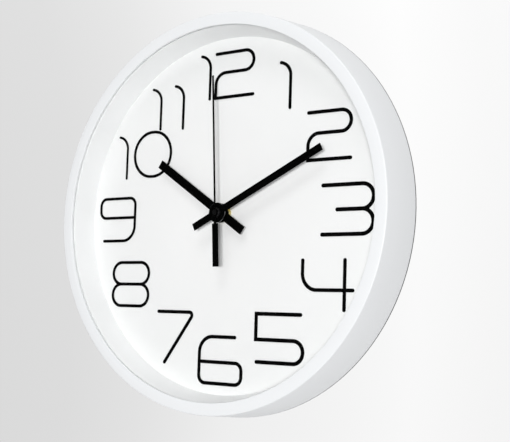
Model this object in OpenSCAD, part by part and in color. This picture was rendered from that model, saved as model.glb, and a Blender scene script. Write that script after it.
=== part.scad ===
// Round wall clock with a quartz movement: white moulded case, flat dial with raised
// numerals, three bar hands, and the whole battery movement with its gear train.
//
// The clock hangs by a keyhole. The origin is the centre of the keyhole's round entry, on the
// wall plane. +Z is up (12 o'clock), +X is to 3 o'clock, and the dial faces -Y.
// Sub-parts are drawn in clock space, x to 3, y to 12, z from the wall towards the viewer with
// the hands' axis at x = y = 0, and placed() turns them into the part's own frame.

/* [Case] */
// Outer diameter at the rear edge of the side wall
rear_diameter = 305.6; // [302:0.2:320]
// Diameter of the front rim, where its rounding meets the side wall
front_diameter = 299; // [298:0.2:300.4]
// Thickness from the wall to the bezel's face
depth = 42; // [42:0.5:44]
// Diameter of the opening in the bezel
opening_diameter = 280.6; // [279:0.2:281]
// Rounding radius of the front rim
rim_round = 1; // [0.8:0.1:2]
// Distance from the wall to the rear edge of the side wall
rim_height = 6.7; // [6.2:0.1:7]
// Thickness of the moulded walls
wall = 2; // [1.6:0.1:2.2]
// Number of screws that hold the back cover
cover_screw_count = 6; // [4:1:8]

/* [Display] */
// Thickness of the clear lens
lens_thickness = 2; // [1.5:0.1:2]
// Thickness of the bezel's lip in front of the lens
lip = 1.8; // [1.6:0.1:2]
// Distance from the bezel's face back to the dial
dial_depth = 22.2; // [22:0.1:22.4]
// Thickness of the dial plate
dial_thickness = 1; // [0.8:0.1:1]
// Visible diameter of the dial
dial_diameter = 271.8; // [270:0.2:272]

/* [Numerals] */
// Width of a numeral's stroke
stroke = 2.5; // [2.3:0.1:2.6]
// Height of the numerals above the dial
numeral_height = 0.4; // [0.3:0.1:1.5]

/* [Hands] */
// Hour hand's angle clockwise from 12, in degrees
hour_angle = 303.8; // [0:0.1:360]
// Minute hand's angle clockwise from 12, in degrees
minute_angle = 64.1; // [0:0.1:360]
// Second hand's angle clockwise from 12, in degrees
second_angle = 356.6; // [0:0.1:360]
// Hour hand: axis to tip
hour_tip = 73.8; // [60:0.1:80]
// Hour hand: axis to end of tail
hour_tail = 24.9; // [15:0.1:30]
// Hour hand: width of the bar
hour_width = 6.8; // [4:0.1:8]
// Minute hand: axis to tip
minute_tip = 100.4; // [80:0.1:110]
// Minute hand: axis to end of tail
minute_tail = 24.5; // [15:0.1:30]
// Minute hand: width of the bar
minute_width = 5.6; // [4:0.1:7]
// Second hand: axis to tip
second_tip = 105; // [90:0.1:115]
// Second hand: width of the needle
needle_width = 1.6; // [1:0.1:1.8]
// Second hand: start of the counterweight bar behind the axis
bar_start = 8.4; // [7:0.1:12]
// Second hand: end of the counterweight bar
bar_end = 40.8; // [30:0.1:45]
// Second hand: width of the counterweight bar
bar_width = 5.5; // [4:0.1:6]
// Height of the hour hand's middle above the dial
hour_lift = 5.4; // [5.2:0.1:5.6]
// Height of the minute hand's middle above the dial
minute_lift = 9.8; // [9.6:0.1:10]
// Height of the second hand's middle above the dial
second_lift = 12.4; // [12.2:0.1:12.6]
// Thickness of the hour and minute hands
hand_thickness = 0.6; // [0.4:0.1:0.6]

/* [Hanging] */
// Height of the keyhole's entry above the hands' axis
hang_height = 104; // [100:1:106]
// Radius of the keyhole's round entry
entry_r = 4.5; // [4.2:0.1:5]
// Half width of the slot above the entry
slot_r = 2.2; // [2.1:0.1:2.4]
// Distance from the entry's centre up to the slot's end centre
slot_rise = 11; // [10:0.5:12]

/* [Movement] */
// Side of the square movement case
case_size = 56; // [56:0.5:57]
// Battery diameter
battery_diameter = 14.5; // [14:0.1:14.5]
// Battery length without its positive button
battery_length = 49.5; // [49:0.1:49.5]
// Radial running clearance between a shaft and its hole
running = 0.06; // [0.04:0.01:0.08]

/* [Gears] */
// Module of the fine pairs driven by the rotor and the second wheel's pinion
fine_module = 0.27; // [0.265:0.001:0.272]
// Module of the pair between the intermediate pinion and the second wheel
drive_module = 0.5; // [0.49:0.001:0.5]
// Module of the motion work under the dial
motion_module = 0.4; // [0.39:0.001:0.4]
// Share of a tooth's pitch that the tooth itself fills at the pitch circle
tooth_share = 0.36; // [0.3:0.01:0.4]

/* [Hidden] */
$fn = 96;

// --- heights above the wall, in clock space ---
dial_front = depth - dial_depth;
dial_back = dial_front - dial_thickness;
lens_front = depth - lip;
lens_back = lens_front - lens_thickness;
movement_front = dial_back - 1;
movement_back = 1.8;
cover_inner = movement_back + 1.2;
front_wall_inner = movement_front - 1.2;
cover_plate_rear = 2.5;
cover_plate_front = 4.5;

// --- radii in clock space ---
rear_r = rear_diameter / 2;
front_r = front_diameter / 2;
opening_r = opening_diameter / 2;
dial_r = dial_diameter / 2;
lens_r = opening_r + 2.5;
dial_plate_r = dial_r + 4.1;
foot_outer_r = 138;
foot_inner_r = 130;
screw_circle_r = 147;

// --- difference in width that keeps two overlapping shapes from sharing a face ---
hair = 0.02;

// --- shaft stack: outer radius of each tube, from the inside out ---
second_arbor_r = 0.5;
second_neck_r = 1.1;
minute_tube_r = 1.5;
hour_tube_r = 2.5;
bushing_r = 4;
hour_mid = dial_front + hour_lift;
minute_mid = dial_front + minute_lift;
second_mid = dial_front + second_lift;

// --- battery bay and gear chamber inside the movement case ---
chamber_half = case_size / 2 - 1.2;
partition_top = -11.2;
bay_top = -12.2;
bay_bottom = -27.2;
bay_floor = 15.6;
battery_y = -19.7;
battery_z = 0.9 + battery_diameter / 2;
cover_post_places = [[-25.6, 25.6], [25.6, 25.6], [-16, -8.8], [14, -9]];

// --- gear train: teeth, axes and levels ---
rotor_teeth = 8;
intermediate_teeth = 60;
pinion_teeth = 8;
second_teeth = 32;
third_teeth = 60;
centre_teeth = 64;
cannon_teeth = 10;
minute_teeth = 30;
hour_teeth = 32;
knob_teeth = 12;
third_direction = 150;
intermediate_direction = 60;
rotor_direction = 60;
minute_direction = 340;
knob_direction = 10;
third_distance = fine_module * (pinion_teeth + third_teeth) / 2;
centre_module = 2 * third_distance / (pinion_teeth + centre_teeth);
intermediate_at = polar(drive_module * (pinion_teeth + second_teeth) / 2, intermediate_direction);
third_at = polar(third_distance, third_direction);
rotor_distance = fine_module * (rotor_teeth + intermediate_teeth) / 2;
rotor_at = intermediate_at + polar(rotor_distance, rotor_direction);
minute_at = polar(motion_module * (cannon_teeth + minute_teeth) / 2, minute_direction);
knob_at = minute_at + polar(motion_module * (minute_teeth + knob_teeth) / 2, knob_direction);
// Tooth phases, so that every pair is in mesh with the hands where they are
second_phase = 0;
intermediate_pinion_phase =
    mesh_phase(second_teeth, second_phase, pinion_teeth, intermediate_direction);
rotor_phase = mesh_phase(intermediate_teeth, 0, rotor_teeth, rotor_direction);
third_phase = mesh_phase(pinion_teeth, second_phase, third_teeth, third_direction);
centre_phase = mesh_phase(pinion_teeth, 0, centre_teeth, third_direction + 180);
minute_phase = mesh_phase(cannon_teeth, 0, minute_teeth, minute_direction);
hour_phase = mesh_phase(pinion_teeth, 0, hour_teeth, minute_direction + 180);
knob_phase = mesh_phase(minute_teeth, minute_phase, knob_teeth, knob_direction);

// --- gear levels above the wall, as the rear and front face of each toothed part ---
rotor_pinion_level = [8.4, 10.2];
intermediate_level = [8.8, 9.4];
intermediate_pinion_level = [9.4, 11];
second_level = [9.9, 10.7];
second_pinion_level = [10.7, 12.1];
third_level = [11.2, 11.8];
third_pinion_level = [11.8, 13.4];
centre_level = [12.5, 13.2];
cannon_level = [13.7, 14.9];
minute_level = [14, 14.6];
minute_pinion_level = [14.6, 16.2];
hour_level = [15.2, 16];
knob_level = [14, 14.8];

// --- pivots ---
rear_pivot_z = 3.4;
rotor_pivot_r = 0.4;
pivot_r = 0.5;
stud_r = 0.7;

// --- coil and board places ---
coil_y = 21.6;
coil_z = 6.6;
coil_left = -24;
coil_right = -6;
board_z = 5;
board_front = 6;

function polar(r, a) = [r * cos(a), r * sin(a)];

// Angle of a tooth of the second gear of a pair that is in mesh with the first. The second
// gear lies in the given direction from the first one.
function mesh_phase(teeth_a, phase_a, teeth_b, direction) =
    direction + 180 - (0.5 - (direction - phase_a) * teeth_a / 360) * 360 / teeth_b;

// Points of an arc
function arc(centre, r, from, to, steps) =
    [for (i = [0:steps]) centre + polar(r, from + (to - from) * i / steps)];

// Turns clock space into the part's own frame
module placed() {
    translate([0, 0, -hang_height]) rotate([90, 0, 0]) children();
}

// Straight cylinder between two heights
module post(x, y, r, from, to, fn = 96) {
    translate([x, y, from]) cylinder(r = r, h = to - from, $fn = fn);
}

// Tube between two heights about the hands' axis
module pipe(outer_r, inner_r, from, to) {
    difference() {
        post(0, 0, outer_r, from, to);
        post(0, 0, inner_r, from - 1, to + 1);
    }
}

// Box from its low corner to its high corner
module block(low, high) {
    translate(low) cube(high - low);
}

// Rectangle with round corners, raised between two heights
module rounded_block(x0, y0, x1, y1, r, from, to) {
    block([x0 + r, y0, from], [x1 - r, y1, to]);
    block([x0, y0 + r, from], [x1, y1 - r, to]);
    for (x = [x0 + r, x1 - r])
        for (y = [y0 + r, y1 - r])
            post(x, y, r, from, to, 48);
}

// ---------------------------------------------------------------- case

module front_housing() {
    color("white") placed() difference() {
        union() {
            rotate_extrude($fn = 240) polygon(concat(
                [[rear_r, rim_height]],
                arc([front_r - rim_round, depth - rim_round], rim_round, 0, 90, 8),
                [[opening_r + 0.3, depth], [opening_r, depth - 0.3], [opening_r, lens_front],
                 [lens_r + 0.2, lens_front], [lens_r + 0.2, lens_back - 2.2],
                 [lens_r + 1.8, lens_back - 2.2], [lens_r + 1.8, depth - wall],
                 [front_r - wall - 0.6, depth - wall], [rear_r - wall, rim_height]]));
            for (i = [0:cover_screw_count - 1])
                rotate(30 + i * 360 / cover_screw_count)
                    post(screw_circle_r, 0, 3, rim_height, 24, 48);
        }
        for (i = [0:cover_screw_count - 1])
            rotate(30 + i * 360 / cover_screw_count)
                post(screw_circle_r, 0, 1.3, rim_height - 1, 18, 48);
    }
}

module lens() {
    color("lightblue", 0.3) placed() post(0, 0, lens_r, lens_back, lens_front, 240);
}

// Sloping wall from behind the lens down to the dial, with a foot that clamps the dial
module inner_ring() {
    color("white") placed() rotate_extrude($fn = 240) polygon([
        [opening_r + 0.2, lens_back], [lens_r - 0.3, lens_back], [lens_r - 0.3, lens_back - 4],
        [opening_r + 1.9, lens_back - 4.6], [dial_r + 2.1, dial_front + 1.6],
        [dial_plate_r + 0.5, dial_front + 1.6], [dial_plate_r + 0.5, dial_front],
        [dial_r, dial_front]]);
}

module dial() {
    color("white") placed() difference() {
        post(0, 0, dial_plate_r, dial_back, dial_front, 240);
        post(0, 0, bushing_r + 0.2, dial_back - 1, dial_front + 1);
    }
}

// ---------------------------------------------------------------- numerals
// Every numeral is one round-ended stroke. Each digit is drawn in its own axes, and the
// strokes are lines and arcs of constant width. on_dial() sets $ink, the width of a digit's
// strokes, which is a little more or less than the usual stroke from one numeral to the next.

// Straight stroke between two points
module line(a, b) {
    along = b - a;
    translate([a[0], a[1], 0]) rotate(atan2(along[1], along[0]))
        translate([0, -$ink / 2, 0]) cube([norm(along), $ink, numeral_height]);
}

// Round end of a stroke
module dot(a, extra = 0) {
    translate([a[0], a[1], 0]) cylinder(d = $ink + extra, h = numeral_height, $fn = 24);
}

// Square corner of a stroke
module corner(a) {
    translate([a[0] - $ink / 2, a[1] - $ink / 2, 0]) cube([$ink, $ink, numeral_height]);
}

// Curved stroke about a centre, counter-clockwise from an angle
module bend(centre, r, from, sweep, extra = 0) {
    width = $ink + extra;
    translate([centre[0], centre[1], 0]) rotate(from)
        rotate_extrude(angle = sweep, $fn = 72)
            translate([r - width / 2, 0]) square([width, numeral_height]);
}

// Digit 1: hooked stem. The origin is the stem's foot. The hook's round end is a hair wider
// than the stroke, so that it crosses the stroke's sides cleanly.
module digit_one(height = 34.5) {
    hook_r = 10.5;
    hook_sweep = 80;
    shoulder = height - hook_r * sin(hook_sweep);
    dot([0, 0]);
    line([0, 0], [0, shoulder]);
    bend([-hook_r, shoulder], hook_r, 0, hook_sweep);
    dot([-hook_r, shoulder] + polar(hook_r, hook_sweep), hair);
}

// Digit 2: the origin is the sharp lower left corner
module digit_two() {
    width = 35.4;
    base = 19.3;
    loop_r = 7.7;
    turn_r = 9;
    top = base + 2 * loop_r;
    dot([0, top]);
    line([0, top], [width - loop_r, top]);
    bend([width - loop_r, base + loop_r], loop_r, -90, 180);
    line([turn_r, base], [width - loop_r, base]);
    bend([turn_r, base - turn_r], turn_r, 90, 90);
    line([0, 0], [0, base - turn_r]);
    corner([0, 0]);
    line([0, 0], [width, 0]);
    dot([width, 0]);
}

// Digit 3: the origin is where the two loops meet
module digit_three() {
    loop_r = 8.75;
    for (side = [-1, 1]) {
        bend([0, side * loop_r], loop_r, -90, 180);
        line([-32, side * 2 * loop_r], [0, side * 2 * loop_r]);
        dot([-32, side * 2 * loop_r]);
    }
    line([-20, 0], [0, 0]);
    dot([-20, 0]);
}

// Digit 4: the origin is where the strokes cross
module digit_four() {
    turn_r = 11.8;
    left = -34.7;
    line([0, -13.7], [0, 21.1]);
    dot([0, -13.7]);
    dot([0, 21.1]);
    line([left + turn_r, 0], [6.6, 0]);
    dot([6.6, 0]);
    bend([left + turn_r, turn_r], turn_r, 180, 90);
    line([left, turn_r], [left, 21.1]);
    dot([left, 21.1]);
}

// Digit 5: the origin is the lower sharp corner
module digit_five() {
    loop_r = 8.15;
    width = 40.9;
    neck = 18.7;
    line([0, neck], [38.4, neck]);
    dot([38.4, neck]);
    corner([0, neck]);
    line([0, 0], [0, neck]);
    corner([0, 0]);
    line([0, 0], [width - loop_r, 0]);
    bend([width - loop_r, -loop_r], loop_r, -90, 180);
    line([1.2, -2 * loop_r], [width - loop_r, -2 * loop_r]);
    dot([1.2, -2 * loop_r]);
}

// Digit 6: a rounded box under a long curved arm. The origin is the box's lower left corner.
module digit_six(width) {
    box_h = 15.9;
    height = 34.8;
    corner_r = 5.8;
    arm_r = 12;
    line([0, corner_r], [0, height - arm_r]);
    bend([arm_r, height - arm_r], arm_r, 90, 90);
    line([arm_r, height], [32.8, height]);
    dot([32.8, height]);
    line([0, box_h], [width - corner_r, box_h]);
    bend([width - corner_r, box_h - corner_r], corner_r, 0, 90);
    line([width, corner_r], [width, box_h - corner_r]);
    bend([width - corner_r, corner_r], corner_r, 270, 90);
    line([corner_r, 0], [width - corner_r, 0]);
    bend([corner_r, corner_r], corner_r, 180, 90);
}

// Digit 7: the origin is the left end of the top stroke. The bend is a hair narrower than the
// stroke and reaches a few degrees into both straights.
module digit_seven() {
    turn_r = 2.4;
    turn_x = 31;
    slant = 54.3;
    fall = 43.4;
    reach = 3;
    elbow = [turn_x, -turn_r] + polar(turn_r, slant - 90);
    foot = elbow - polar(fall, slant);
    dot([0, 0]);
    line([0, 0], [turn_x, 0]);
    bend([turn_x, -turn_r], turn_r, slant - 90 - reach, 180 - slant + 2 * reach, -hair);
    line(elbow, foot);
    dot(foot, hair);
}

// Digit 8: two round-ended loops that share the middle stroke. The origin is its centre.
module digit_eight() {
    loop_r = 8.7;
    half = 10.25;
    for (side = [-1, 1]) {
        line([-half, side * 2 * loop_r], [half, side * 2 * loop_r]);
        bend([half, side * loop_r], loop_r, -90, 180);
        bend([-half, side * loop_r], loop_r, 90, 180);
    }
    line([-half, 0], [half, 0]);
}

// Digit 0: a circle widened a little by short straights
module digit_zero() {
    r = 18;
    half = 1;
    for (side = [-1, 1])
        line([-half, side * r], [half, side * r]);
    bend([half, 0], r, -90, 180);
    bend([-half, 0], r, 90, 180);
}

// A digit set down on the dial, with its strokes that many times the usual width
module on_dial(x, y, turn = 0, weight = 1) {
    $ink = stroke * weight;
    translate([x, y, dial_front]) rotate(turn) children();
}

module numeral_1() {
    color("black") placed() on_dial(56.6, 76.4, weight = 0.97) digit_one();
}

module numeral_2() {
    color("black") placed() on_dial(73.1, 36.1, weight = 1.06) digit_two();
}

module numeral_3() {
    color("black") placed() on_dial(118.7, -0.2, weight = 1.15) digit_three();
}

module numeral_4() {
    color("black") placed() on_dial(105.9, -56.8, weight = 1.06) digit_four();
}

module numeral_5() {
    color("black") placed() on_dial(32.1, -93.3, weight = 1.14) digit_five();
}

module numeral_6() {
    color("black") placed() on_dial(-19.6, -127.6, weight = 1.07) digit_six(39.4);
}

module numeral_7() {
    color("black") placed() on_dial(-61.6, -75, weight = 1.06) digit_seven();
}

module numeral_8() {
    color("black") placed() on_dial(-92.4, -53.9) digit_eight();
}

module numeral_9() {
    color("black") placed() on_dial(-90.8, 16, 180, weight = 0.93) digit_six(37.6);
}

module numeral_10() {
    color("black") placed() {
        on_dial(-101.6, 32.4, weight = 0.8) digit_one();
        on_dial(-74.4, 50.6, weight = 0.92) digit_zero();
    }
}

// The first stem is a little shorter, where it comes down on the round 0 of the 10
module numeral_11() {
    color("black") placed() {
        on_dial(-67.3, 70.4, weight = 0.84) digit_one(33);
        on_dial(-44.1, 69.3, weight = 0.9) digit_one();
    }
}

module numeral_12() {
    color("black") placed() {
        on_dial(-18.2, 90.1, weight = 0.9) digit_one();
        on_dial(-12.5, 90.1) digit_two();
    }
}

// ---------------------------------------------------------------- back

// Outline of the keyhole: round entry with a slot rising from it
module keyhole(from, to) {
    post(0, hang_height, entry_r, from, to);
    block([-slot_r, hang_height, from], [slot_r, hang_height + slot_rise, to]);
    post(0, hang_height + slot_rise, slot_r, from, to);
}

// Dished plate: outer flange under the side wall, foot ring on the wall, rib that presses
// the dial, window for the movement and a pocket for the hanging screw's head
module back_cover() {
    pocket_half = 15;
    pocket_low = hang_height - 11;
    pocket_high = hang_height + 20;
    window_half = case_size / 2 + 1;
    frame_half = window_half + 2.5;
    rib_count = 12;
    color("gainsboro") placed() difference() {
        union() {
            rotate_extrude($fn = 240) polygon([
                [0, cover_plate_rear], [foot_inner_r - 3, cover_plate_rear], [foot_inner_r, 0],
                [foot_outer_r, 0], [foot_outer_r + 0.8, 0.8], [foot_outer_r + 0.8, rim_height - 1],
                [rear_r, rim_height - 1], [rear_r, rim_height],
                [foot_outer_r + 0.5, rim_height], [foot_outer_r + 0.5, dial_back],
                [foot_outer_r - 1.1, dial_back], [foot_outer_r - 1.1, cover_plate_front],
                [0, cover_plate_front]]);
            rounded_block(-pocket_half, pocket_low, pocket_half, pocket_high, 4,
                0, cover_plate_front);
            rounded_block(-frame_half, -frame_half, frame_half, frame_half, 3, 1.2, 7);
            for (i = [0:rib_count - 1])
                rotate(15 + i * 360 / rib_count)
                    block([46, -0.8, 1.4], [foot_inner_r - 1, 0.8, cover_plate_rear + 0.5]);
        }
        block([-window_half, -window_half, -1], [window_half, window_half, 10]);
        rounded_block(-pocket_half + 2, pocket_low + 2, pocket_half - 2, pocket_high - 2, 2, 2, 10);
        keyhole(-1, 3);
        for (i = [0:cover_screw_count - 1])
            rotate(30 + i * 360 / cover_screw_count)
                post(screw_circle_r, 0, 1.6, rim_height - 2, rim_height + 1, 48);
    }
}

// Pan-head tapping screws with a cross recess
module cover_screws() {
    head_rear = rim_height - 1 - 1.8;
    color("silver") placed() for (i = [0:cover_screw_count - 1])
        rotate(30 + i * 360 / cover_screw_count) difference() {
            union() {
                post(screw_circle_r, 0, 2.8, head_rear, rim_height - 1, 48);
                post(screw_circle_r, 0, 1.25, rim_height - 1, 16, 48);
            }
            for (turn = [0, 90])
                translate([screw_circle_r, 0, head_rear]) rotate(turn)
                    cube([3.2, 0.7, 1.8], center = true);
        }
}

// ---------------------------------------------------------------- hands

// Turns a hand drawn along +y clockwise by its clock angle and lifts it to its middle height
module on_shaft(angle, middle) {
    translate([0, 0, middle]) rotate(-angle) children();
}

// Flat bar hand with a round hub and a hole for its collet
module bar_hand(tip, tail, width, hub_r, hole_r) {
    half = hand_thickness / 2;
    difference() {
        union() {
            block([-width / 2, -tail, -half], [width / 2, tip, half]);
            post(0, 0, hub_r, -half, half);
        }
        post(0, 0, hole_r, -1, 1);
    }
}

module hour_hand() {
    color("black") placed() on_shaft(hour_angle, hour_mid)
        bar_hand(hour_tip, hour_tail, hour_width, 7.3, 3.4);
}

module minute_hand() {
    color("black") placed() on_shaft(minute_angle, minute_mid)
        bar_hand(minute_tip, minute_tail, minute_width, 7.5, 2.6);
}

// Needle with a wide counterweight bar behind the axis
module second_hand() {
    half = 0.2;
    needle_half = needle_width / 2;
    color("black") placed() on_shaft(second_angle, second_mid) difference() {
        union() {
            block([-needle_half, 0, -half], [needle_half, second_tip, half]);
            block([-1.2, -bar_start - 1, -half], [1.2, 0, half]);
            block([-bar_width / 2, -bar_end, -half], [bar_width / 2, -bar_start, half]);
            post(0, 0, 2.6, -half, half);
        }
        post(0, 0, second_neck_r, -1, 1);
    }
}

// Flanged sleeve that grips a tube and carries a hand
module collet(sleeve_r, flange_r, bore_r, from, hand_front) {
    difference() {
        union() {
            post(0, 0, sleeve_r, from, hand_front);
            post(0, 0, flange_r, hand_front, hand_front + 0.5);
        }
        post(0, 0, bore_r, from - 1, hand_front + 2);
    }
}

module hour_collet() {
    color("dimgray") placed()
        collet(3.4, 4.9, hour_tube_r, hour_mid - 1.9, hour_mid + hand_thickness / 2);
}

module minute_collet() {
    color("dimgray") placed()
        collet(2.6, 3.8, minute_tube_r, minute_mid - 2, minute_mid + hand_thickness / 2);
}

// Little tube that presses onto the second arbor, closed by a cap
module second_tube() {
    color("dimgray") placed() difference() {
        union() {
            post(0, 0, second_neck_r, second_mid - 1, second_mid + 0.2);
            post(0, 0, 2, second_mid + 0.2, second_mid + 1);
        }
        post(0, 0, second_arbor_r, second_mid - 2, second_mid + 0.2);
    }
}

// ---------------------------------------------------------------- gears

// Flat gear about the origin. Each tooth is a trapezium, narrow enough to leave backlash.
module gear(teeth, module_mm, phase, level) {
    pitch_r = teeth * module_mm / 2;
    tip_r = pitch_r + 0.62 * module_mm;
    root_r = pitch_r - 0.95 * module_mm;
    pitch = 360 / teeth;
    root_half = pitch * (tooth_share / 2 + 0.07);
    tip_half = pitch * (tooth_share / 2 - 0.08);
    tooth = [[root_r, -root_half], [tip_r, -tip_half], [tip_r, tip_half], [root_r, root_half]];
    translate([0, 0, level[0]]) linear_extrude(level[1] - level[0]) polygon([
        for (i = [0:teeth - 1])
            for (p = tooth)
                polar(p[0], phase + i * pitch + p[1])]);
}

// Wheel with round lightening holes between hub and teeth
module holed(hole_r, hole_circle_r, count) {
    difference() {
        children();
        for (i = [0:count - 1])
            rotate(i * 360 / count + 20) post(hole_circle_r, 0, hole_r, 0, 20, 32);
    }
}

// Moves a wheel to its axis
module at(place) {
    translate([place[0], place[1], 0]) children();
}

module rotor() {
    color("ivory") placed() at(rotor_at) {
        post(0, 0, rotor_pivot_r, rear_pivot_z, 10.8, 32);
        post(0, 0, 0.9, 4.2, 4.8, 32);
        gear(rotor_teeth, fine_module, rotor_phase, rotor_pinion_level);
    }
}

module rotor_magnet() {
    color("dimgray") placed() at(rotor_at) difference() {
        post(0, 0, 2.8, 4.8, 8.2);
        post(0, 0, rotor_pivot_r, 4, 9, 32);
    }
}

module intermediate_wheel() {
    color("ivory") placed() at(intermediate_at) {
        holed(1.3, 4.8, 5) gear(intermediate_teeth, fine_module, 0, intermediate_level);
        gear(pinion_teeth, drive_module, intermediate_pinion_phase, intermediate_pinion_level);
        post(0, 0, pivot_r, rear_pivot_z, 11.8, 32);
    }
}

// Carries the second hand's arbor through the whole stack of tubes
module second_wheel() {
    color("ivory") placed() {
        holed(1.3, 4.6, 4) gear(second_teeth, drive_module, second_phase, second_level);
        gear(pinion_teeth, fine_module, second_phase, second_pinion_level);
        post(0, 0, second_arbor_r, rear_pivot_z, second_mid + 0.2, 48);
    }
}

module third_wheel() {
    color("ivory") placed() at(third_at) {
        holed(1.3, 4.8, 5) gear(third_teeth, fine_module, third_phase, third_level);
        gear(pinion_teeth, centre_module, 0, third_pinion_level);
        post(0, 0, pivot_r, rear_pivot_z, 14.2, 32);
    }
}

// Drives the cannon pinion by friction, so the hands can be set without turning the train
module centre_wheel() {
    color("ivory") placed() difference() {
        union() {
            holed(1.3, 5, 4) gear(centre_teeth, centre_module, centre_phase, centre_level);
            post(0, 0, 2.6, centre_level[0], centre_level[1] + 0.3, 48);
        }
        post(0, 0, minute_tube_r + running, 12, 14);
    }
}

// Minute tube with the pinion that drives the motion work
module cannon_pinion() {
    color("ivory") placed() difference() {
        union() {
            gear(cannon_teeth, motion_module, 0, cannon_level);
            post(0, 0, minute_tube_r, 12.3, minute_mid + 0.9);
        }
        post(0, 0, second_arbor_r + running, 12, minute_mid + 2, 48);
    }
}

module minute_wheel() {
    color("ivory") placed() at(minute_at) difference() {
        union() {
            gear(minute_teeth, motion_module, minute_phase, minute_level);
            gear(pinion_teeth, motion_module, 0, minute_pinion_level);
        }
        post(0, 0, stud_r + running, 13, 17, 32);
    }
}

module hour_wheel() {
    color("ivory") placed() difference() {
        union() {
            gear(hour_teeth, motion_module, hour_phase, hour_level);
            post(0, 0, hour_tube_r, hour_level[0], hour_mid + 1.1);
        }
        post(0, 0, minute_tube_r + running, 15, hour_mid + 2);
    }
}

// Knurled knob reached from behind, with a gear on its shaft
module setting_knob() {
    knob_r = 4.7;
    color("gray") placed() at(knob_at) {
        difference() {
            post(0, 0, knob_r, 0.8, 3.4);
            for (i = [0:17])
                rotate(i * 20) post(knob_r + 0.25, 0, 0.5, 0, 2.6, 24);
        }
        post(0, 0, 1.2, 3.4, knob_level[0], 32);
        gear(knob_teeth, motion_module, knob_phase, knob_level);
        post(0, 0, stud_r, knob_level[1], 17.2, 32);
    }
}

// ---------------------------------------------------------------- movement

// Bearing post of a wheel: hangs from the front wall and holds the arbor's pivot
module bearing(place, from, r, pivot_to) {
    at(place) difference() {
        post(0, 0, r + 0.8, from, front_wall_inner + 0.2, 48);
        post(0, 0, r + running, from - 1, pivot_to, 32);
    }
}

module movement_case() {
    half = case_size / 2;
    strip_slot = 25.2;
    color("darkslategray") placed() {
        difference() {
            rounded_block(-half, -half, half, half, 2.5, movement_back, movement_front);
            block([-chamber_half, partition_top, 0],
                [chamber_half, chamber_half, front_wall_inner]);
            block([-chamber_half, bay_bottom, 0], [chamber_half, bay_top, bay_floor]);
            post(0, 0, 5.6, 16, front_wall_inner + 0.6);
            post(0, 0, bushing_r + 0.05, 16, 20);
            at(knob_at) post(0, 0, stud_r + running, 16, front_wall_inner + 0.8, 32);
            for (left = [-chamber_half, strip_slot])
                block([left, bay_top - 1, 12.8],
                    [left + chamber_half - strip_slot, partition_top + 1, 15.2]);
        }
        for (place = cover_post_places)
            at(place) post(0, 0, 1.2, cover_inner, front_wall_inner + 0.2, 48);
        at(minute_at) post(0, 0, stud_r, 13.7, front_wall_inner + 0.2, 32);
        bearing(rotor_at, 10.4, rotor_pivot_r, 11);
        bearing(intermediate_at, 11.2, pivot_r, 12);
        bearing(third_at, 13.6, pivot_r, 14.4);
    }
}

// Plate that closes the gear chamber from behind, with a bearing for every arbor
module movement_cover() {
    inset = 0.15;
    places = [[rotor_at, rotor_pivot_r, 4], [intermediate_at, pivot_r, 5], [third_at, pivot_r, 5],
        [[0, 0], second_arbor_r, 5]];
    color("darkslategray") placed() difference() {
        union() {
            block([-chamber_half + inset, partition_top + inset, movement_back],
                [chamber_half - inset, chamber_half - inset, cover_inner]);
            for (p = places)
                at(p[0]) post(0, 0, p[1] + 0.8, cover_inner - 0.2, p[2], 48);
            for (x = [19.5, 25])
                post(x, 12, 1, cover_inner - 0.2, board_z, 32);
        }
        for (p = places)
            at(p[0]) post(0, 0, p[1] + running, 3.2, 6, 32);
        at(knob_at) post(0, 0, 4.9, 1, 4);
    }
}

// Threaded brass neck that carries the nut, with a flange seated in the case's front wall
module threaded_bushing() {
    thread_top = dial_front + 3.1;
    color("goldenrod") placed() difference() {
        union() {
            post(0, 0, 5.5, front_wall_inner, front_wall_inner + 0.6);
            post(0, 0, bushing_r - 0.3, front_wall_inner, thread_top);
            for (z = [dial_front + 0.3:0.7:thread_top - 0.4])
                post(0, 0, bushing_r, z, z + 0.4);
            post(0, 0, bushing_r, front_wall_inner, dial_front);
        }
        post(0, 0, hour_tube_r + running, 16, thread_top + 1);
    }
}

module hex_nut() {
    color("goldenrod") placed() difference() {
        post(0, 0, 6.1, dial_front + 0.5, dial_front + 2.5, 6);
        post(0, 0, bushing_r, dial_front, dial_front + 3);
    }
}

module washer() {
    color("goldenrod") placed() pipe(6, bushing_r + 0.1, dial_front, dial_front + 0.5);
}

module rubber_washer() {
    color("black") placed() pipe(9, bushing_r + 0.1, movement_front, dial_back);
}

// Lies down a shape drawn along z so that it runs along x at the coil's place
module along_coil(from) {
    translate([from, coil_y, coil_z]) rotate([0, 90, 0]) children();
}

module coil_bobbin() {
    length = coil_right - coil_left;
    color("white") placed() along_coil(coil_left) difference() {
        union() {
            cylinder(r = 3.4, h = 0.8, $fn = 64);
            translate([0, 0, length - 0.8]) cylinder(r = 3.4, h = 0.8, $fn = 64);
            cylinder(r = 1.8, h = length, $fn = 64);
        }
        translate([-0.55, -1.05, -1]) cube([1.1, 2.1, length + 2]);
    }
}

module coil() {
    length = coil_right - coil_left;
    color("chocolate") placed() along_coil(coil_left + 0.8) difference() {
        cylinder(r = 3, h = length - 1.6, $fn = 64);
        translate([0, 0, -1]) cylinder(r = 1.8, h = length, $fn = 64);
    }
}

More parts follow.
